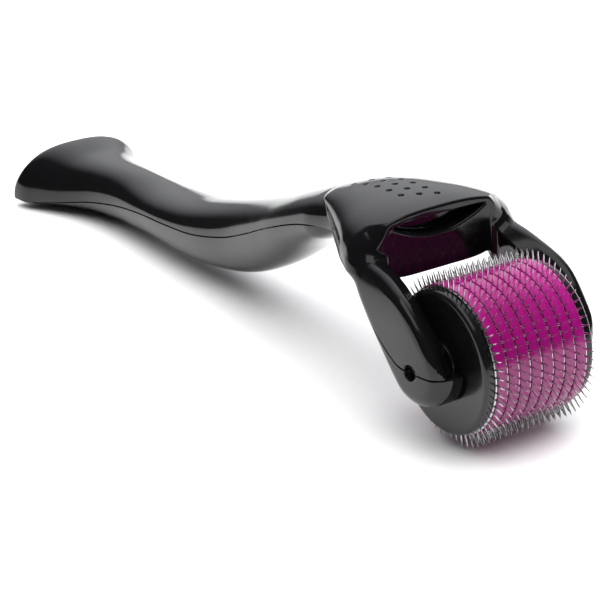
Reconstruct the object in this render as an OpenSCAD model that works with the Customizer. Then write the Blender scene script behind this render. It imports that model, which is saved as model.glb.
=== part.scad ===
// Hand-held needle roller: a curved two-shell handle ends in a fork, and a
// drum of stacked needle discs and spacer rings turns freely on a steel axle.
// Frame: +X from the tail of the handle to the drum, +Y along the axle, +Z up.
// The origin is the centre of the footprint, on the surface it lies on.

/* [Drum] */
// Radius from the axle to the needle tips
tip_r = 12.1; // [11.6:0.1:12.5]
// Radius of the coloured spacer rings
ring_r = 10.5; // [10:0.1:10.8]
// Radius of the black end caps
cap_r = 10.1; // [9.5:0.1:10.4]
// Distance from one needle disc to the next
disc_pitch = 1.87; // [1.7:0.01:1.87]
// Thickness of one needle disc
disc_t = 0.2; // [0.1:0.05:0.3]
// Needles round one disc
needles = 60; // [30:6:72]
// Width of one needle where it leaves the spacer ring
needle_w = 0.34; // [0.2:0.02:0.4]
// Thickness of one end cap, without its hub
cap_t = 1.46; // [1:0.02:1.6]
// Radius of the core tube that the discs are threaded on
core_r = 5; // [4:0.1:6]

/* [Axle] */
// Diameter of the steel axle
axle_d = 2.2; // [1.8:0.1:2.6]
// Length of the steel axle
axle_len = 26.4; // [25:0.2:27.6]
// Running clearance between the axle and the core, on the radius
run_gap = 0.05; // [0.02:0.01:0.1]

/* [Handle] */
// Total width over the fork
fork_w = 28.4; // [27.6:0.1:30]
// Free width between the two fork arms
gap_w = 18.8; // [18.7:0.1:19.2]
// Radius of the rounded end of each fork arm
boss_r = 5.4; // [5:0.1:5.8]
// Wall thickness of the two handle shells
wall = 1.5; // [1.2:0.1:1.8]
// Depth of the small grip dimples in the head
dimple_depth = 0.4; // [0.2:0.1:0.6]

/* [Hidden] */
axle_x = 54.9;
axle_z = 12.1;
tail_x = -67;
discs = 9;
black = [0.03, 0.03, 0.035];
magenta = [0.75, 0.08, 0.6];
steel = [0.75, 0.75, 0.78];

// ---- curves through hand-set stations -------------------------------------
// each row: value at position; the slope is taken from the neighbours
function slope(t, i) = i == 0 ? (t[1][1] - t[0][1]) / (t[1][0] - t[0][0])
    : i == len(t) - 1 ? (t[i][1] - t[i - 1][1]) / (t[i][0] - t[i - 1][0])
    : (t[i + 1][1] - t[i - 1][1]) / (t[i + 1][0] - t[i - 1][0]);
function span(t, x, i = 0) = i >= len(t) - 2 || x < t[i + 1][0] ? i : span(t, x, i + 1);
function herm(t, x, i) = let (h = t[i + 1][0] - t[i][0], u = (x - t[i][0]) / h)
    (2 * u * u * u - 3 * u * u + 1) * t[i][1] + (u * u * u - 2 * u * u + u) * h * slope(t, i)
    + (3 * u * u - 2 * u * u * u) * t[i + 1][1] + (u * u * u - u * u) * h * slope(t, i + 1);
function curve(t, x) = x <= t[0][0] ? t[0][1] : x >= t[len(t) - 1][0] ? t[len(t) - 1][1]
    : herm(t, x, span(t, x));

// distance from the tail end, then the half width of the handle
half_w = [[0, 10], [1, 11], [3, 11.3], [6, 10], [12, 7.5], [17, 6.1], [24, 5.4], [32, 5.6],
    [38, 5.9], [52, 6.3], [62, 6.2], [72, 6.8], [77, 7.2], [89, 7.9], [100, 8.8], [110, 9.6]];
// distance from the tail end, then the height of the underside
bottom = [[0, 0.4], [1, -0.1], [3, -0.5], [10, -0.8], [15, -0.5], [20, -0.1], [26, 0.8], [34, 1.6], [44, 1.5],
    [52, 2.1], [62, 4.2], [72, 8.6], [82, 15], [89, 18.3], [95, 19.9], [101, 20.1], [110, 19.8]];
// distance from the tail end, then the height of the top
top = [[0, 7.4], [1, 8.8], [3, 9.7], [10, 9.3], [22, 9.9], [34, 9.95], [44, 11.1], [52, 13],
    [62, 16], [72, 19.6], [82, 23.8], [92, 27.5], [97, 28.4], [102, 28.6], [107, 28.6], [112, 28.2]];
// distance from the tail end, then the height of the seam between the shells
seam = [[0, 1.7], [4, 1.7], [10, 2.5], [17, 4], [27, 5.9], [35, 7], [44, 7.8], [52, 8.8], [61, 11],
    [68, 13.7], [75, 16.8], [82, 19.6], [87, 21.2], [91, 21.9], [95, 22.2], [99, 22.4]];
// distance from the tail end, then the squareness of the section
square_up = [[0, 2.6], [12, 2.3], [40, 2.1], [80, 2.1], [96, 2.6], [110, 5]];
square_dn = [[0, 2], [12, 1.9], [30, 2.1], [80, 2.2], [96, 3], [110, 6]];

// the same for the flared head plate: half width, height of its edge, squareness
plate_w = [[84, 4.2], [87, 4.8], [90, 5.9], [94, 7.8], [99, 10.3], [102, 11.8], [105, 13.1], [108, 14], [111, 14.2]];
plate_edge = [[84, 23.2], [88, 24], [92, 24.5], [95, 24.2], [99, 23.5], [102, 23.1], [105, 22.7], [108, 22.2], [112, 21.6]];
plate_sq = [[86, 2.1], [96, 2.2], [104, 2.5], [112, 2.7]];

// the grip goes in under the head: 0 before it, 1 well inside it
function under(s) = let (u = max(0, min(1, (s - 87) / 7))) u * u * (3 - 2 * u);
function pw(v, n) = sign(v) * pow(abs(v), 2 / n);
function lobe(s, a, off) = let (w = curve(half_w, s) - off - 0.8 * under(s), zp = curve(seam, s),
    zt = curve(top, s) - off - 1.2 * under(s), zb = curve(bottom, s) + off, n = sin(a) >= 0 ? curve(square_up, s) : curve(square_dn, s))
    [tail_x + s, w * pw(cos(a), n), zp + (sin(a) >= 0 ? zt - zp : zp - zb) * pw(sin(a), n)];
function plate_lobe(s, a) = let (w = curve(plate_w, s), zp = curve(plate_edge, s), zt = curve(top, s) - 0.4 * (1 - under(s)),
    n = sin(a) >= 0 ? curve(plate_sq, s) : 3)
    [tail_x + s, w * pw(cos(a), n), zp + (sin(a) >= 0 ? zt - zp : 1.6) * pw(sin(a), n)];

// closed skin through rings of k points
module skin(rings) {
    m = len(rings);
    k = len(rings[0]);
    faces = concat([[for (j = [0:k - 1]) j]],
        [for (i = [0:m - 2]) for (j = [0:k - 1]) let (a = i * k + j, b = i * k + (j + 1) % k)
            each [[a, a + k, b], [b, a + k, b + k]]],
        [[for (j = [k - 1:-1:0]) (m - 1) * k + j]]);
    polyhedron(points = [for (r = rings) each r], faces = faces, convexity = 8);
}
module handle_skin(ss, off, k) { skin([for (s = ss) [for (j = [0:k - 1]) lobe(s, 360 * (j + 0.5) / k, off)]]); }
module plate_skin() { skin([for (i = [0:12]) [for (j = [0:31]) plate_lobe(86.4 + i * 2.07, 360 * (j + 0.5) / 32)]]); }

// ---- fork, measured from the axle -----------------------------------------
// outline of one arm seen from the side: down its front, then up its back
arm_front = [[-22, 12.6], [-17, 13.6], [-13, 13.4], [-10.4, 12.6], [-6.6, 11.3], [-3, 9.7], [-0.4, 8.2], [1.3, 6.8],
    [3, 5.1], [4.6, 3.1], [5.3, 1.1]];
arm_back = [[-4, -3.63], [-5, -2], [-16.6, 11], [-18.5, 11.6]];
// plan outline of one side, from the neck to the end of the arm
arm_plan = [[-23, 12.6], [-18, 13.8], [-13, 14.2], [-6, 14.2], [0, 14], [4, 13.6], [6.2, 12.6]];
// section of the arms across the width
arm_crown = [[0, 14.6], [8, 14.3], [10, 13.7], [11.8, 12.5], [13.1, 10.9],
    [13.9, 8.4], [14.2, 5], [14.2, -3], [13.4, -7]];
// the seam carried on down the back of the arms and across the axle
fork_seam = [[-22.9, 10.3], [-18.9, 10.2], [-15.3, 9.1], [-12.4, 7.2], [-9, 4.4], [-6.6, 2.6], [-3.1, 0.4], [-1.6, 0.03],
    [1.7, 0.06], [3.5, 0.1], [8, 0.4]];

module extrude_y(w) { rotate([90, 0, 0]) translate([0, 0, -w / 2]) linear_extrude(w) children(); }
module arm_side() {
    polygon(concat(arm_front, arm_back));
    circle(boss_r, $fn = 48);
}
module arms() {
    intersection() {
        extrude_y(fork_w + 2) arm_side();
        translate([0, 0, -10]) linear_extrude(30)
            polygon(concat(arm_plan, [for (i = [len(arm_plan) - 1:-1:0]) [arm_plan[i][0], -arm_plan[i][1]]]));
        rotate([90, 0, 90]) translate([0, 0, -40]) linear_extrude(50)
            polygon(concat(arm_crown, [for (i = [len(arm_crown) - 1:-1:1]) [-arm_crown[i][0], arm_crown[i][1]]]));
    }
}
// the space for the drum, and the half-moon recess above the front wall
module fork_gap() {
    translate([-12, -gap_w / 2, -12]) cube([30, gap_w, 40]);
    rotate([90, 0, 90]) translate([0, 0, -14.2]) linear_extrude(5)
        polygon(concat([for (i = [-4:4]) [1.7 * i, 15.5 - 0.015 * i * i]], [for (i = [3:-1:-3]) [1.7 * i, 13.05 + 0.13 * i * i]]));
}

ss_out = concat([0, 0.4, 1, 2, 3.5], [for (i = [0:40]) 6.13 + i * 2.57], [110.2]);
ss_in = [for (i = [0:24]) 7.31 + i * 3.93];

module outside() {
    intersection() {
        union() {
            handle_skin(ss_out, 0, 36);
            plate_skin();
            translate([axle_x, 0, axle_z]) arms();
        }
        translate([-100, -50, 0]) cube([200, 100, 60]);
    }
}
module whole() {
    difference() {
        outside();
        handle_skin(ss_in, wall, 20);
        translate([axle_x, 0, axle_z]) fork_gap();
    }
}
// everything above the seam, seen from the side
module above_seam() {
    extrude_y(60) polygon(concat([[-90, curve(seam, 0)]],
        [for (i = [1:38]) let (s = i * 2.5 + 0.23) [tail_x + s, curve(seam, s)]],
        [for (p = fork_seam) [axle_x + p[0], axle_z + p[1]]],
        [[90, 10], [90, 60], [-90, 60]]));
}
// alignment pegs on the lower shell, and their sockets in the upper one
peg_s = [21.41, 48.97, 76.18];
module pegs() {
    for (s = peg_s) let (z = curve(bottom, s) + 0.77) translate([tail_x + s, 0, z])
        cylinder(r = 1.2, h = curve(seam, s) + 2.2 - z, $fn = 20);
}
module sockets() {
    for (s = peg_s) let (z = curve(seam, s) + 0.95) translate([tail_x + s, 0, z])
        cylinder(r = 2, h = curve(top, s) - 0.93 - z, $fn = 20);
}
module socket_bores() {
    for (s = peg_s) translate([tail_x + s, 0, curve(seam, s) + 0.1]) cylinder(r = 1.25, h = 2.5, $fn = 20);
}

module axle_bore() {
    translate([axle_x, 0, axle_z]) rotate([90, 0, 0]) cylinder(d = axle_d, h = 60, center = true, $fn = 64);
}
// grip dimples: three staggered rows on the crown of the head
module dimples() {
    for (r = [-1:1]) for (i = [0:4])
        translate([axle_x - 29.6 + i * 2.9 + 1.2 * (r + 1), 2.2 * r, axle_z + 15.5 + 0.09 * (i * 2 + r)])
            translate([0, 0, -dimple_depth]) cylinder(d = 1, h = 4, $fn = 14);
}
module upper_shell() {
    color(black) difference() {
        resize([0, 0, 0]) difference() {
            union() {
                intersection() { whole(); above_seam(); }
                sockets();
            }
            socket_bores();
            dimples();
        }
        axle_bore();
    }
}
module lower_shell() {
    color(black) difference() {
        resize([0, 0, 0]) union() {
            difference() { whole(); above_seam(); }
            pegs();
        }
        axle_bore();
    }
}
module axle() {
    color(steel) translate([axle_x, 0, axle_z]) rotate([90, 0, 0])
        cylinder(d = axle_d, h = axle_len, center = true, $fn = 64);
}

// ---- drum ------------------------------------------------------------------
stack = (discs - 1) * disc_pitch + disc_t;
module at_axle(y) { translate([axle_x, y, axle_z]) rotate([-90, 0, 0]) children(); }
module drum_core() {
    color(black) at_axle(-stack / 2) difference() {
        cylinder(r = core_r, h = stack, $fn = 64);
        translate([0, 0, -1]) cylinder(r = axle_d / 2 + run_gap, h = stack + 2, $fn = 64);
    }
}
// end cap: a disc with a rounded rim and a small thrust hub, bored for the axle
module cap() {
    rotate_extrude($fn = 96) polygon(concat(
        [[axle_d / 2 + run_gap, 0], [cap_r, 0]],
        [for (a = [0:15:90]) [cap_r - 0.6 + 0.6 * cos(a), cap_t - 0.6 + 0.6 * sin(a)]],
        [[3.2, cap_t], [3.2, cap_t + 0.3], [axle_d / 2 + run_gap, cap_t + 0.3]]));
}
module left_cap() { color(black) translate([axle_x, -stack / 2, axle_z]) rotate([90, 0, 0]) cap(); }
module right_cap() { color(black) translate([axle_x, stack / 2, axle_z]) rotate([-90, 0, 0]) cap(); }

// one thin disc with pointed needles round its rim, held on the core
module needle_disc(i) {
    root = ring_r - 0.4;
    color(steel) at_axle((i - 5) * disc_pitch - disc_t / 2) linear_extrude(disc_t) difference() {
        polygon([for (k = [0:needles - 1]) let (a = 360 * k / needles, g = needle_w / 2)
            each [for (p = [[root, -g], [tip_r - 0.7, -g * 0.7], [tip_r, 0], [tip_r - 0.7, g * 0.7], [root, g]])
                [p[0] * cos(a) - p[1] * sin(a), p[0] * sin(a) + p[1] * cos(a)]]]);
        circle(r = core_r, $fn = 64);
    }
}
module spacer_ring(i) {
    color(magenta) at_axle((i - 5) * disc_pitch + disc_t / 2) difference() {
        cylinder(r = ring_r, h = disc_pitch - disc_t, $fn = 96);
        translate([0, 0, -1]) cylinder(r = core_r, h = 4, $fn = 64);
    }
}

upper_shell();
lower_shell();
axle();
drum_core();
left_cap();
right_cap();
needle_disc(1);  // needle_disc_1
needle_disc(2);  // needle_disc_2
needle_disc(3);  // needle_disc_3
needle_disc(4);  // needle_disc_4
needle_disc(5);  // needle_disc_5
needle_disc(6);  // needle_disc_6
needle_disc(7);  // needle_disc_7
needle_disc(8);  // needle_disc_8
needle_disc(9);  // needle_disc_9
spacer_ring(1);  // spacer_ring_1
spacer_ring(2);  // spacer_ring_2
spacer_ring(3);  // spacer_ring_3
spacer_ring(4);  // spacer_ring_4
spacer_ring(5);  // spacer_ring_5
spacer_ring(6);  // spacer_ring_6
spacer_ring(7);  // spacer_ring_7
spacer_ring(8);  // spacer_ring_8
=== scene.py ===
"""Photographic model of the hand-held needle roller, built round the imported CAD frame.

The two handle shells are polygonised from a distance field in a grid that follows the seam.
The drum, its rings, caps, needle discs and the axle are turned and extruded meshes.
Lengths in the helper functions are millimetres, and become metres when a mesh is made.
"""

import math

import bmesh
import bpy
import numpy as np
from mathutils import Matrix, Vector
from mathutils.geometry import delaunay_2d_cdt


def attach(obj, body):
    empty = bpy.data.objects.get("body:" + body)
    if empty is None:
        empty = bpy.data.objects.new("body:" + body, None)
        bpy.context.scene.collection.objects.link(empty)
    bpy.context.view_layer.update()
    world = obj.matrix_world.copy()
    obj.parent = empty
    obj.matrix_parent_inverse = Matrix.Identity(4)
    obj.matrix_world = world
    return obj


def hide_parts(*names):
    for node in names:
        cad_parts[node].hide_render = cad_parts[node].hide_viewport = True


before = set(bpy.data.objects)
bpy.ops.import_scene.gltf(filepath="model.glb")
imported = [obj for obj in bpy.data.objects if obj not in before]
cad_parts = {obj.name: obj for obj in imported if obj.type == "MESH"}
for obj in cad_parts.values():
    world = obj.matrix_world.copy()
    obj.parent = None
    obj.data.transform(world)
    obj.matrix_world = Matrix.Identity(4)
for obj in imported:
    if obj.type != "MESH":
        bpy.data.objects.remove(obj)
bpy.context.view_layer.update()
AX, AZ, TAIL = 54.9, 12.1, -67.0


# ------------------------------------------------------------------ curves
def curve(rows, ends=None):
    """Cubic curve through rows of (position, value), held constant beyond its ends."""
    t = np.array(rows, float)
    xs, v = t[:, 0], t[:, 1]
    m = np.empty_like(v)
    m[1:-1] = (v[2:] - v[:-2]) / (xs[2:] - xs[:-2])
    m[0] = (v[1] - v[0]) / (xs[1] - xs[0])
    m[-1] = (v[-1] - v[-2]) / (xs[-1] - xs[-2])
    g = np.arange(xs[0], xs[-1] + 0.04, 0.04)
    i = np.clip(np.searchsorted(xs, g, "right") - 1, 0, len(xs) - 2)
    h = xs[i + 1] - xs[i]
    u = np.clip((g - xs[i]) / h, 0, 1)
    val = (
        (2 * u**3 - 3 * u**2 + 1) * v[i]
        + (u**3 - 2 * u**2 + u) * h * m[i]
        + (3 * u**2 - 2 * u**3) * v[i + 1]
        + (u**3 - u**2) * h * m[i + 1]
    )
    k = np.ones(9) / 9
    pad = np.concatenate([np.full(4, val[0]), val, np.full(4, val[-1])])
    val = np.convolve(pad, k, "valid")
    return lambda q: np.interp(q, g, val)


def step(a, b, q):
    u = np.clip((q - a) / (b - a), 0, 1)
    return u * u * (3 - 2 * u)


half_w = curve([[0, 11.9], [3, 11.4], [6, 10], [12, 7.5], [17, 6.1], [24, 5.4], [32, 5.6], [38, 5.9],
                [52, 6.3], [62, 6.2], [72, 6.8], [77, 7.2], [89, 7.9], [100, 8.8], [110, 9.6]])
bottom = curve([[0, -0.6], [12, -0.6], [17, 0], [21, 0.5], [26, 1.1], [34, 1.6], [44, 1.5],
                [52, 2.1], [62, 4.2], [72, 8.6], [82, 15], [89, 18.5], [95, 20.3], [101, 20.3], [110, 19.8]])
top = curve([[0, 9.8], [3, 9.9], [10, 9.3], [22, 9.9], [34, 9.95], [44, 11.1], [52, 13],
             [62, 16], [72, 19.6], [82, 23.8], [92, 27.6], [97, 28.8], [102, 29.2], [107, 29.2], [112, 28.7]])
split = curve([[0, 1.4], [4, 1.4], [10, 2.4], [17, 4], [27, 5.9], [35, 7], [44, 7.8], [52, 8.8], [61, 11],
               [68, 13.7], [75, 16.8], [82, 19.8], [89, 22.4], [94, 23.4], [99, 23.5]])
square_up = curve([[0, 2.6], [12, 2.3], [40, 2.1], [80, 2.1], [96, 2.6], [110, 5]])
square_dn = curve([[0, 1.25], [12, 1.3], [22, 1.7], [30, 2.1], [80, 2.2], [96, 3], [110, 6]])
plate_w = curve([[84, 4.2], [87, 4.8], [90, 5.9], [94.3, 7.9], [99, 10.3], [102.4, 12], [104.6, 13],
                 [108.3, 14], [111, 14.2]])
plate_edge = curve([[84, 25.6], [90, 25.1], [94.3, 24.4], [99, 23.5], [102.4, 23.1], [104.6, 22.7], [108.3, 22.2], [112, 21.6]])
plate_sq = curve([[84, 2.1], [96, 2.2], [104, 2.5], [112, 2.7]])
seam = curve([[0, 1.4], [4, 1.4], [10, 2.4], [17, 4], [27, 5.9], [35, 7], [44, 7.8], [52, 8.8], [61, 11],
              [68, 13.7], [75, 16.8], [82, 19.6], [87, 21.2], [91, 21.9], [95, 22.2], [99, 22.4],
              [103, 22.3], [106.6, 21.2], [109.5, 19.3], [112.9, 16.5], [115.3, 14.7], [118.8, 12.5],
              [120.3, 12.13], [123.6, 12.16], [125.4, 12.2], [129.9, 12.5]])
front_out = curve([[-24, -8.2], [-21.3, -3.6], [-18.3, -0.6], [-15.8, 1], [-12.4, 3], [-9.1, 4.7],
                   [-6.4, 5.5], [-4.2, 5.7], [-1.85, 5.8], [0.5, 5.9], [4, 5.8]])
front_in = curve([[-24, -8.5], [-21.3, -4.5], [-19, -2.9], [-17.5, -2.7], [-14.75, -0.73], [-12.1, 0.65],
                  [-9.85, 1.35], [-6, 2.23], [-1.5, 2.95], [1.2, 2.5], [3, 2.2]])
side_x = curve([[-23, 12.6], [-18, 13.8], [-13, 14.2], [-6, 14.2], [0, 14.05], [4, 13.6], [6.2, 12.8]])
side_z = curve([[-7, -0.8], [-3, 0], [5, 0], [8.4, -0.3], [10.9, -1.1], [11.8, -1.7], [13.5, -3]])


def seam_at(x):
    return seam(x - TAIL)


# ------------------------------------------------------------------ distance field
def rmax(a, b, r):
    return np.minimum(-r, np.maximum(a, b)) + np.hypot(np.maximum(a + r, 0), np.maximum(b + r, 0))


def rmin(a, b, r):
    return -rmax(-a, -b, r)


def oval(y, v, w, h, n):
    a, b = np.abs(y) / w + 1e-6, np.abs(v) / h + 1e-6
    g = (a**n + b**n) ** (1 / n)
    return (g - 1) / np.hypot((a / g) ** (n - 1) / w, (b / g) ** (n - 1) / h)


def neck(x, y, z, inset=0.0):
    """The curved grip, down to the front wall of the head. It goes in under the flange of the head."""
    s = x - TAIL
    k = step(87, 94, s)
    zp = split(s)
    up = z > zp
    w = half_w(s) - (0.8 + inset) * k
    h = np.where(up, top(s) - zp - 1.2 * k, zp - bottom(s) - 0.6 * inset * k)
    d = oval(y, z - zp, w, h, np.where(up, square_up(s), square_dn(s)))
    d = rmax(d, -s, 1.0 + 2.0 * step(2, 8, z))
    d = rmax(d, s - 110.6, 0.8)
    return rmax(d, -z, 0.35)


def hood(x, y, z):
    """The flat head over the drum. Its rim comes out of the crown of the grip and sweeps out to the arms."""
    s = x - TAIL
    e = np.minimum(plate_edge(s), top(s) - 1.7)
    up = z > e
    h = np.where(up, top(s) - e, 1.5)
    d = oval(y, z - e, plate_w(s), h, np.where(up, plate_sq(s), 3.0))
    d = rmax(d, 86 - s, 0.5)
    ay = np.abs(y)
    lim = np.interp(ay, [0, 9.4, 14], [-11.9, -11.9, -12.5])
    return rmax(d, x - AX - lim, 0.5 + 2.5 * step(8, 11, ay))


def arms(x, y, z, bevel):
    px, pz, ay = x - AX, z - AZ, np.abs(y)
    t, u = 0.66 * px - 0.75 * pz, 0.75 * px + 0.66 * pz
    c = np.hypot(px, pz)
    boss = c - (5.43 + 0.36 * u / np.maximum(c, 0.5))
    out = front_out(t)
    if bevel:
        f = np.clip((ay - 9.4) / 4, 0, 1.1)
        front = (front_in(t) * (1 - f) + out * f - u) * -0.86
    else:
        front = (out - u) * -0.95
    d = np.where(t < 0, np.maximum(-5.07 - u, front), np.maximum(boss, front))
    d = rmax(d, -20 - t, 1.0)
    d = rmax(d, ay - side_x(px) - side_z(pz), 2.0)
    d = rmax(d, 8.9 - ay, 0.2)
    return rmax(d, 1.1 - c, 0.15)


def fork_gap(x, y, z):
    px, pz, ay = x - AX, z - AZ, np.abs(y)
    return rmax(ay - 9.4, -12 - px, 1.0)


def scoop(x, y, z):
    """Lens-shaped recess in the front face of the head, between its upper edge and a lower lid."""
    px, pz = x - AX, z - AZ
    q = (y / 8) ** 2
    lid = (13.0 + 2.4 * q - pz) / np.sqrt(1 + (4.8 * y / 64) ** 2)
    brow = (pz - 15.55 + 0.3 * q) * 0.99
    return rmax(rmax(-14.2 - px, lid, 0.2), brow, 0.2)


DIMPLES = [(-29.6 + i * 2.9 + 1.2 * (r + 1), 2.2 * r) for r in (-1, 0, 1) for i in range(5)]


def crown_z(x, y):
    s = x - TAIL
    e = plate_edge(s)
    return e + (top(s) - e) * (1 - (abs(y) / plate_w(s)) ** plate_sq(s)) ** (1 / plate_sq(s))


def upper_field(x, y, z, dimples=True):
    s = x - TAIL
    d = hood(x, y, z)
    d = rmin(d, neck(x, y, z), 0.02 + 0.35 * step(89, 97, s))
    d = rmin(d, arms(x, y, z, True), 1.5)
    d = rmax(d, -fork_gap(x, y, z), 0.25)
    d = rmax(d, -scoop(x, y, z), 0.35)
    if dimples:
        for a, b in DIMPLES:
            cz = crown_z(AX + a, b) + 0.08
            q = np.sqrt((x - AX - a) ** 2 + (y - b) ** 2 + (z - cz) ** 2)
            near = 0.42 - q
            d = np.where(near > -1.2, rmax(d, near, 0.12), d)
    return d


def lower_field(x, y, z):
    d = rmin(neck(x, y, z, 1.3), arms(x, y, z, False), 0.5)
    return rmax(d, -fork_gap(x, y, z), 0.25)


# ------------------------------------------------------------------ surface from the field
CORNERS = [(i, j, k) for i in (0, 1) for j in (0, 1) for k in (0, 1)]
EDGES = [(a, b) for a in range(8) for b in range(a + 1, 8)
         if sum(abs(CORNERS[a][q] - CORNERS[b][q]) for q in range(3)) == 1]


def axis(marks):
    """Grid positions: rows of (from, to, step)."""
    out = [np.array([marks[0][0]])]
    for a, b, h in marks:
        n = max(1, round((b - a) / h))
        out.append(np.linspace(a, b, n + 1)[1:])
    return np.concatenate(out)


def surface(field, xs, ys, zs):
    """Vertices (in grid coordinates) and quads where the field is zero. zs is the height above the seam."""
    sx = seam_at(xs)
    yh = ys[len(ys) // 2:]
    half = np.empty((len(xs), len(yh), len(zs)), np.float32)
    for a in range(0, len(xs), 24):
        x = xs[a:a + 24, None, None]
        half[a:a + 24] = field(x, yh[None, :, None], zs[None, None, :] + sx[a:a + 24, None, None])
    f = np.concatenate([half[:, :0:-1], half], 1)
    inside = f < 0
    count = np.zeros(tuple(n - 1 for n in f.shape), np.int8)
    for i, j, k in CORNERS:
        count += inside[i:f.shape[0] - 1 + i, j:f.shape[1] - 1 + j, k:f.shape[2] - 1 + k]
    act = (count > 0) & (count < 8)
    ids = np.full(act.shape, -1, np.int64)
    ci, cj, ck = np.nonzero(act)
    ids[act] = np.arange(len(ci))
    vals = np.stack([f[ci + i, cj + j, ck + k] for i, j, k in CORNERS], 1)
    pos = np.zeros((len(ci), 3))
    num = np.zeros(len(ci))
    for a, b in EDGES:
        fa, fb = vals[:, a], vals[:, b]
        m = (fa < 0) != (fb < 0)
        q = np.where(m, fa / np.where(m, fa - fb, 1), 0)
        p = [CORNERS[a][w] + q * (CORNERS[b][w] - CORNERS[a][w]) for w in range(3)]
        for w in range(3):
            pos[:, w] += np.where(m, p[w], 0)
        num += m
    pos /= num[:, None]
    co = np.stack([xs[ci] + pos[:, 0] * (xs[ci + 1] - xs[ci]),
                   ys[cj] + pos[:, 1] * (ys[cj + 1] - ys[cj]),
                   zs[ck] + pos[:, 2] * (zs[ck + 1] - zs[ck])], 1)
    quads = []
    for ax, (o1, o2) in enumerate([((0, 1, 0), (0, 0, 1)), ((0, 0, 1), (1, 0, 0)), ((1, 0, 0), (0, 1, 0))]):
        s0 = inside
        lo = [slice(None)] * 3
        hi = [slice(None)] * 3
        lo[ax], hi[ax] = slice(None, -1), slice(1, None)
        a, b = s0[tuple(lo)], s0[tuple(hi)]
        m = a != b
        for w in range(3):
            if w != ax:
                sl = [slice(None)] * 3
                sl[w] = slice(0, 1)
                m[tuple(sl)] = False
                sl[w] = slice(-1, None)
                m[tuple(sl)] = False
        i, j, k = np.nonzero(m)
        flip = b[i, j, k]
        c = [ids[i - o1[0] * p - o2[0] * q, j - o1[1] * p - o2[1] * q, k - o1[2] * p - o2[2] * q]
             for p, q in ((1, 1), (0, 1), (0, 0), (1, 0))]
        quad = np.stack(c, 1)
        quad[flip] = quad[flip][:, ::-1]
        quads.append(quad)
    return co, np.concatenate(quads)


def gradient(field, p, h=0.02):
    g = np.empty_like(p)
    for w in range(3):
        d = np.zeros(3)
        d[w] = h
        g[:, w] = (field(*(p + d).T) - field(*(p - d).T)) / (2 * h)
    return g


def shell(name, field, xs, ys, zs, side):
    """One handle shell. side is 1 above the seam and -1 below it."""
    co, quads = surface(field, xs, ys, zs)
    p = co.copy()
    p[:, 2] += seam_at(p[:, 0])
    for _ in range(3):
        g = gradient(field, p)
        d = field(*p.T)
        move = -d[:, None] * g / np.maximum((g**2).sum(1), 0.05)[:, None]
        size = np.sqrt((move**2).sum(1))
        p += move * np.minimum(1, 0.15 / np.maximum(size, 1e-9))[:, None]
    # on a sharp corner one step too many can tangle the mesh, so the move is kept inside the cell
    me = bpy.data.meshes.new(name)
    w = p.copy()
    w[:, 2] -= seam_at(p[:, 0])
    me.from_pydata(w.tolist(), [], quads.tolist())
    bm = bmesh.new()
    bm.from_mesh(me)
    geom = bm.verts[:] + bm.edges[:] + bm.faces[:]
    bmesh.ops.bisect_plane(bm, geom=geom, dist=0.002, plane_co=(0, 0, side * 0.17),
                           plane_no=(0, 0, side), clear_inner=True)
    # rolled lip down to the joint face, then the joint face itself
    for zl, inset in ((0.10, 0.035), (0.06, 0.11), (0.06, 0.55)):
        edges = [e for e in bm.edges if len(e.link_faces) == 1]
        verts = {v for e in edges for v in e.verts}
        vs = list(verts)
        q = np.array([v.co for v in vs])
        r = q.copy()
        r[:, 2] += seam_at(r[:, 0])
        n = gradient(field, r)[:, :2] if inset < 0.05 else None
        if n is not None:
            n /= np.maximum(np.hypot(n[:, 0], n[:, 1]), 0.2)[:, None]
            base = {v.index: i for i, v in enumerate(vs)}
            lip_n, lip_q = n, q
        ret = bmesh.ops.extrude_edge_only(bm, edges=edges)
        new = [v for v in ret["geom"] if isinstance(v, bmesh.types.BMVert)]
        key = {tuple(np.round(lp[:2], 5)): i for i, lp in enumerate(lip_q if inset < 0.05 else last)}
        nxt = []
        order = []
        for v in new:
            i = key[tuple(np.round(np.array(v.co)[:2], 5))]
            o = lip_q[i]
            v.co = (o[0] - lip_n[i, 0] * inset, o[1] - lip_n[i, 1] * inset, side * zl)
            order.append(i)
        last = np.zeros((len(lip_q), 3))
        for v, i in zip(new, order):
            last[i] = np.array(v.co)
    rim = [e for e in bm.edges if len(e.link_faces) == 1]
    vs = list({v: 0 for e in rim for v in e.verts})
    at = {v: i for i, v in enumerate(vs)}
    flat = delaunay_2d_cdt([v.co.xy for v in vs], [(at[e.verts[0]], at[e.verts[1]]) for e in rim], [], 1, 1e-7)
    for tri in flat[2]:
        if all(flat[3][k] for k in tri):
            bm.faces.new([vs[flat[3][k][0]] for k in tri])
    bmesh.ops.recalc_face_normals(bm, faces=bm.faces)
    bm.to_mesh(me)
    bm.free()
    n = len(me.vertices)
    c = np.empty(n * 3)
    me.vertices.foreach_get("co", c)
    c = c.reshape(-1, 3)
    zeta = c[:, 2].copy()
    c[:, 2] += seam_at(c[:, 0])
    me.vertices.foreach_set("co", (c / 1000).ravel())
    me.update()
    nr = np.empty(n * 3)
    me.vertices.foreach_get("normal", nr)
    nr = nr.reshape(-1, 3)
    out = np.abs(zeta) > 0.165
    g = gradient(field, c[out])
    g /= np.maximum(np.linalg.norm(g, axis=1), 1e-6)[:, None]
    nr[out] = g
    me.polygons.foreach_set("use_smooth", [True] * len(me.polygons))
    me.normals_split_custom_set_from_vertices(nr.tolist())
    ob = bpy.data.objects.new(name, me)
    bpy.context.scene.collection.objects.link(ob)
    return ob


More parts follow.
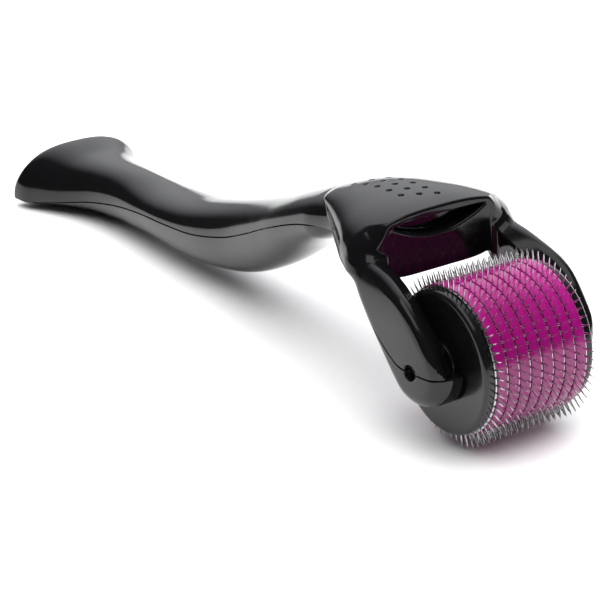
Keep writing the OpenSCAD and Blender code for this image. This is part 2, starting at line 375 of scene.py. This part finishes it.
# ------------------------------------------------------------------ materials
def material(name, base, rough, metal=0.0, ior=1.5, vary=0.25, rough_vary=0.05, scale=900.0,
             bump=0.02, coat=0.0, transmission=0.0, sub=0.0, second=None, stretch=(1, 1, 1), spec_tint=None):
    m = bpy.data.materials.new(name)
    m.use_nodes = True
    nt = m.node_tree
    n, l = nt.nodes, nt.links
    n.clear()
    out = n.new("ShaderNodeOutputMaterial")
    b = n.new("ShaderNodeBsdfPrincipled")
    l.new(b.outputs[0], out.inputs[0])
    tc = n.new("ShaderNodeTexCoord")
    mp = n.new("ShaderNodeMapping")
    mp.inputs["Scale"].default_value = stretch
    l.new(tc.outputs["Object"], mp.inputs["Vector"])
    big = n.new("ShaderNodeTexNoise")
    big.inputs["Scale"].default_value = scale * 0.12
    big.inputs["Detail"].default_value = 5
    l.new(mp.outputs[0], big.inputs["Vector"])
    fine = n.new("ShaderNodeTexNoise")
    fine.inputs["Scale"].default_value = scale
    fine.inputs["Detail"].default_value = 7
    fine.inputs["Roughness"].default_value = 0.6
    l.new(mp.outputs[0], fine.inputs["Vector"])
    ramp = n.new("ShaderNodeValToRGB")
    second = second or tuple(c * (1 - vary) for c in base)
    ramp.color_ramp.elements[0].position = 0.3
    ramp.color_ramp.elements[1].position = 0.7
    ramp.color_ramp.elements[0].color = (*second, 1)
    ramp.color_ramp.elements[1].color = (*base, 1)
    l.new(big.outputs["Fac"], ramp.inputs["Fac"])
    l.new(ramp.outputs["Color"], b.inputs["Base Color"])
    mr = n.new("ShaderNodeMapRange")
    mr.inputs["From Min"].default_value = 0.3
    mr.inputs["From Max"].default_value = 0.7
    mr.inputs["To Min"].default_value = max(0.01, rough - rough_vary)
    mr.inputs["To Max"].default_value = rough + rough_vary
    l.new(fine.outputs["Fac"], mr.inputs["Value"])
    l.new(mr.outputs["Result"], b.inputs["Roughness"])
    bp = n.new("ShaderNodeBump")
    bp.inputs["Strength"].default_value = bump
    bp.inputs["Distance"].default_value = 0.0001
    l.new(fine.outputs["Fac"], bp.inputs["Height"])
    l.new(bp.outputs["Normal"], b.inputs["Normal"])
    b.inputs["Metallic"].default_value = metal
    b.inputs["IOR"].default_value = ior
    b.inputs["Coat Weight"].default_value = coat
    b.inputs["Coat Roughness"].default_value = 0.05
    b.inputs["Transmission Weight"].default_value = transmission
    if sub:
        b.inputs["Subsurface Weight"].default_value = sub
        b.inputs["Subsurface Radius"].default_value = (1, 0.2, 0.8)
        b.inputs["Subsurface Scale"].default_value = 0.001
    return m


BLACK = material("gloss_black_abs", (0.004, 0.0038, 0.0044), 0.12, vary=0.3, rough_vary=0.025, bump=0.012,
                 scale=700, ior=1.45)
CAP = material("cap_black_abs", (0.005, 0.0048, 0.005), 0.17, vary=0.3, rough_vary=0.04, bump=0.03, scale=900)
CORE = material("core_black_abs", (0.012, 0.012, 0.012), 0.35, vary=0.3, bump=0.05)
RING = material("magenta_ring", (0.30, 0.003, 0.16), 0.16, second=(0.22, 0.002, 0.11), rough_vary=0.04,
                bump=0.05, scale=700, coat=0.2, sub=0.25)
NEEDLE = material("needle_steel", (0.68, 0.66, 0.68), 0.24, metal=1, vary=0.2, rough_vary=0.07, bump=0.05,
                  scale=2500)
AXLE = material("axle_steel", (0.42, 0.42, 0.43), 0.28, metal=1, vary=0.3, rough_vary=0.08, bump=0.06,
                scale=1200, stretch=(1, 12, 1))


def dress(ob, mat, body, slot, *nodes):
    ob.data.materials.clear()
    ob.data.materials.append(mat)
    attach(ob, body)
    if nodes:
        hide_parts(*nodes)
    return ob


# ------------------------------------------------------------------ handle
h = 1.0
span = 14.6
half_y = axis([(0, 4.2, 0.15 * h), (4.2, 9.0, 0.3 * h), (9.0, 9.8, 0.13 * h), (9.8, span, 0.26 * h)])
ys = np.concatenate([-half_y[:0:-1], half_y])
xs_up = axis([(TAIL - 0.4, TAIL + 4, 0.3 * h), (TAIL + 4, 18, 0.6 * h), (18, 24.5, 0.3 * h),
              (24.5, 38, 0.17 * h), (38, 45.5, 0.2 * h), (45.5, 61.5, 0.27 * h)])
zs_up = axis([(-0.9, 11.6, 0.26 * h)])
xs_lo = axis([(TAIL - 0.4, TAIL + 4, 0.3 * h), (TAIL + 4, 18, 0.6 * h), (18, 40, 0.35 * h), (40, 61.5, 0.27 * h)])
zs_lo = axis([(-10.5, 0.9, 0.27 * h)])
upper = shell("upper_shell_skin", upper_field, xs_up, ys, zs_up, 1)
lower = shell("lower_shell_skin", lower_field, xs_lo, ys, zs_lo, -1)
print("shell faces", len(upper.data.polygons), len(lower.data.polygons))
dress(upper, BLACK, "handle", "handle_plastic", "upper_shell")
dress(lower, BLACK, "handle", "handle_plastic", "lower_shell")


# ------------------------------------------------------------------ turned parts
def lathe(name, profile, y0, flip, seg=192, closed=True, smooth=40):
    """Turns a closed outline of (radius, height) about the axle. The height runs along Y from y0."""
    k = len(profile)
    verts, faces = [], []
    for i in range(seg):
        a = 2 * math.pi * i / seg
        for r, t in profile:
            verts.append(((AX + r * math.cos(a)) / 1000, (y0 + flip * t) / 1000, (AZ + r * math.sin(a)) / 1000))
    for i in range(seg):
        j = (i + 1) % seg
        for q in range(k if closed else k - 1):
            p = (q + 1) % k
            faces.append((i * k + q, j * k + q, j * k + p, i * k + p))
    me = bpy.data.meshes.new(name)
    me.from_pydata(verts, [], faces)
    bm = bmesh.new()
    bm.from_mesh(me)
    bmesh.ops.remove_doubles(bm, verts=bm.verts, dist=1e-8)
    bmesh.ops.recalc_face_normals(bm, faces=bm.faces)
    bm.to_mesh(me)
    bm.free()
    me.polygons.foreach_set("use_smooth", [True] * len(me.polygons))
    me.set_sharp_from_angle(angle=math.radians(smooth))
    ob = bpy.data.objects.new(name, me)
    bpy.context.scene.collection.objects.link(ob)
    return ob


def arc(cx, cy, r, a0, a1, n=4):
    return [(cx + r * math.cos(math.radians(a0 + (a1 - a0) * i / n)),
             cy + r * math.sin(math.radians(a0 + (a1 - a0) * i / n))) for i in range(n + 1)]


PITCH, DISC = 1.87, 0.2
STACK = 8 * PITCH + DISC
seg = 192

core = lathe("core_tube", [(1.15, 0), (5, 0), (5, STACK), (1.15, STACK)], -STACK / 2, 1, seg)
dress(core, CORE, "roller", "core_plastic", "drum_core")
for name, sign in (("left_cap", -1), ("right_cap", 1)):
    prof = ([(1.15, 0.0), (9.95, 0.0)] + arc(9.95, 0.15, 0.15, -90, 0) + arc(9.5, 0.86, 0.6, 0, 90, 8)
            + [(9.2, 1.46), (3.55, 1.46)] + arc(3.35, 1.61, 0.15, -90, -180, 3)[0:0]
            + [(3.3, 1.48), (3.22, 1.56)] + arc(3.08, 1.62, 0.14, 0, 90, 4)
            + [(1.45, 1.76), (1.25, 1.72), (1.15, 1.6)])
    cap = lathe(name + "_disc", prof, sign * STACK / 2, sign, seg)
    dress(cap, CAP, "roller", "cap_plastic", name)
for i in range(1, 9):
    w = PITCH - DISC
    prof = ([(5.0, 0.0)] + arc(10.5 - 0.09, 0.09 + 0.015, 0.09, -90, 0, 4)
            + arc(10.5 - 0.09, w - 0.09 - 0.015, 0.09, 0, 90, 4) + [(5.0, w)])
    ring = lathe(f"ring_{i}", prof, (i - 5) * PITCH + DISC / 2, 1, seg)
    dress(ring, RING, "roller", "ring_plastic", f"spacer_ring_{i}")

rod = lathe("axle_rod", [(0, 0), (0.9, 0), (1.0, 0.05), (1.1, 0.2), (1.1, 26.2), (1.0, 26.35), (0.9, 26.4), (0, 26.4)],
            -13.2, 1, 96, closed=False)
dress(rod, AXLE, "handle", "axle_steel", "axle")


def needle_disc(name, y0, count=60):
    """A thin punched disc whose rim carries pointed needles of hexagonal section."""
    verts, faces = [], []
    rows = [(9.9, 0.2, 0.1), (10.6, 0.17, 0.1), (11.3, 0.13, 0.09), (11.8, 0.075, 0.06), (12.04, 0.03, 0.03)]
    for k in range(count):
        a = 2 * math.pi * k / count
        ca, sa = math.cos(a), math.sin(a)
        base = len(verts)
        for r, g, t in rows:
            for q, v in ((g, 0), (g * 0.62, t), (-g * 0.62, t), (-g, 0), (-g * 0.62, -t), (g * 0.62, -t)):
                verts.append((AX + r * ca - q * sa, y0 + v, AZ + r * sa + q * ca))
        verts.append((AX + 12.1 * ca, y0, AZ + 12.1 * sa))
        tip = len(verts) - 1
        faces.append(tuple(base + i for i in range(5, -1, -1)))
        for j in range(len(rows) - 1):
            for i in range(6):
                p = (i + 1) % 6
                faces.append((base + j * 6 + i, base + j * 6 + p, base + j * 6 + 6 + p, base + j * 6 + 6 + i))
        b = base + (len(rows) - 1) * 6
        for i in range(6):
            faces.append((b + i, b + (i + 1) % 6, tip))
    base, n = len(verts), 120
    prof = [(5.0, -0.1), (10.28, -0.1), (10.34, -0.06), (10.34, 0.06), (10.28, 0.1), (5.0, 0.1)]
    for i in range(n):
        a = 2 * math.pi * i / n
        for r, t in prof:
            verts.append((AX + r * math.cos(a), y0 + t, AZ + r * math.sin(a)))
    for i in range(n):
        j = (i + 1) % n
        for q in range(6):
            p = (q + 1) % 6
            faces.append((base + i * 6 + q, base + j * 6 + q, base + j * 6 + p, base + i * 6 + p))
    me = bpy.data.meshes.new(name)
    me.from_pydata([(x / 1000, y / 1000, z / 1000) for x, y, z in verts], [], faces)
    bm = bmesh.new()
    bm.from_mesh(me)
    bmesh.ops.recalc_face_normals(bm, faces=bm.faces)
    bm.to_mesh(me)
    bm.free()
    me.polygons.foreach_set("use_smooth", [True] * len(me.polygons))
    me.set_sharp_from_angle(angle=math.radians(50))
    ob = bpy.data.objects.new(name, me)
    bpy.context.scene.collection.objects.link(ob)
    return ob


for i in range(1, 10):
    dress(needle_disc(f"needles_{i}", (i - 5) * PITCH), NEEDLE, "roller", "needle_steel", f"needle_disc_{i}")

# ------------------------------------------------------------------ stage
me = bpy.data.meshes.new("floor")
me.from_pydata([(-4, -4, 0), (4, -4, 0), (4, 4, 0), (-4, 4, 0)], [], [(0, 1, 2, 3)])
floor = bpy.data.objects.new("floor", me)
bpy.context.scene.collection.objects.link(floor)
fm = bpy.data.materials.new("floor_paper")
fm.use_nodes = True
nt = fm.node_tree
b = nt.nodes["Principled BSDF"]
noise = nt.nodes.new("ShaderNodeTexNoise")
noise.inputs["Scale"].default_value = 600
noise.inputs["Detail"].default_value = 6
tc = nt.nodes.new("ShaderNodeTexCoord")
nt.links.new(tc.outputs["Object"], noise.inputs["Vector"])
ramp = nt.nodes.new("ShaderNodeValToRGB")
ramp.color_ramp.elements[0].color = (0.86, 0.86, 0.865, 1)
ramp.color_ramp.elements[1].color = (0.90, 0.90, 0.90, 1)
nt.links.new(noise.outputs["Fac"], ramp.inputs["Fac"])
nt.links.new(ramp.outputs["Color"], b.inputs["Base Color"])
b.inputs["Roughness"].default_value = 0.45
b.inputs["IOR"].default_value = 1.35
me.materials.append(fm)

# ------------------------------------------------------------------ light
world = bpy.data.worlds.new("studio")
bpy.context.scene.world = world
world.use_nodes = True
wt = world.node_tree
ground = wt.nodes["Background"]
ground.inputs[0].default_value = (0.95, 0.96, 1, 1)
tc = wt.nodes.new("ShaderNodeTexCoord")
dot = wt.nodes.new("ShaderNodeVectorMath")
dot.operation = "DOT_PRODUCT"
dot.inputs[1].default_value = Vector((-0.62, 0.5, 0.6)).normalized()
soft = wt.nodes.new("ShaderNodeMapRange")
soft.interpolation_type = "SMOOTHSTEP"
soft.inputs["From Min"].default_value = 0.66
soft.inputs["From Max"].default_value = 1.03
soft.inputs["To Min"].default_value = 0.045
soft.inputs["To Max"].default_value = 1.35
wt.links.new(tc.outputs["Generated"], dot.inputs[0])
wt.links.new(dot.outputs["Value"], soft.inputs["Value"])
wt.links.new(soft.outputs["Result"], ground.inputs[1])


def softbox(name, place, aim, w, hgt, watts, color=(1, 1, 1)):
    d = bpy.data.lights.new(name, "AREA")
    d.shape = "RECTANGLE"
    d.size, d.size_y, d.energy, d.color = w, hgt, watts, color
    o = bpy.data.objects.new(name, d)
    o.location = place
    o.rotation_mode = "QUATERNION"
    o.rotation_quaternion = (Vector(aim) - Vector(place)).to_track_quat("-Z", "Y")
    bpy.context.scene.collection.objects.link(o)
    return o


softbox("overhead", (0.05, 0.05, 1.0), (0, 0, 0), 1.9, 1.9, 34).visible_glossy = False
softbox("crown", (0.2, 0.0, 1.0), (0, 0, 0), 0.8, 0.8, 3.0)
softbox("horizon", (-0.33, 1.15, 0.12), (0.05, 0, 0.02), 0.8, 0.35, 3.2)

# ------------------------------------------------------------------ camera
az, el, roll = (math.radians(v) for v in (58.0, 22.6, -2.65))
back = Vector((math.sin(az) * math.cos(el), -math.cos(az) * math.cos(el), math.sin(el)))
r1 = Vector((math.cos(az), math.sin(az), 0))
u1 = back.cross(r1)
right = math.cos(roll) * r1 + math.sin(roll) * u1
up = -math.sin(roll) * r1 + math.cos(roll) * u1
cam = bpy.data.cameras.new("camera")
cam.sensor_width = 36
cam.lens = 150
cam.clip_start, cam.clip_end = 0.01, 20
co = bpy.data.objects.new("camera", cam)
m = Matrix((right, up, back)).transposed().to_4x4()
m.translation = Vector(((247.9 + AX) / 1000, -0.1855, (136.5 + AZ) / 1000))
co.matrix_world = m
bpy.context.scene.collection.objects.link(co)
bpy.context.scene.camera = co
bpy.context.scene.view_settings.view_transform = "Standard"

bpy.context.view_layer.update()
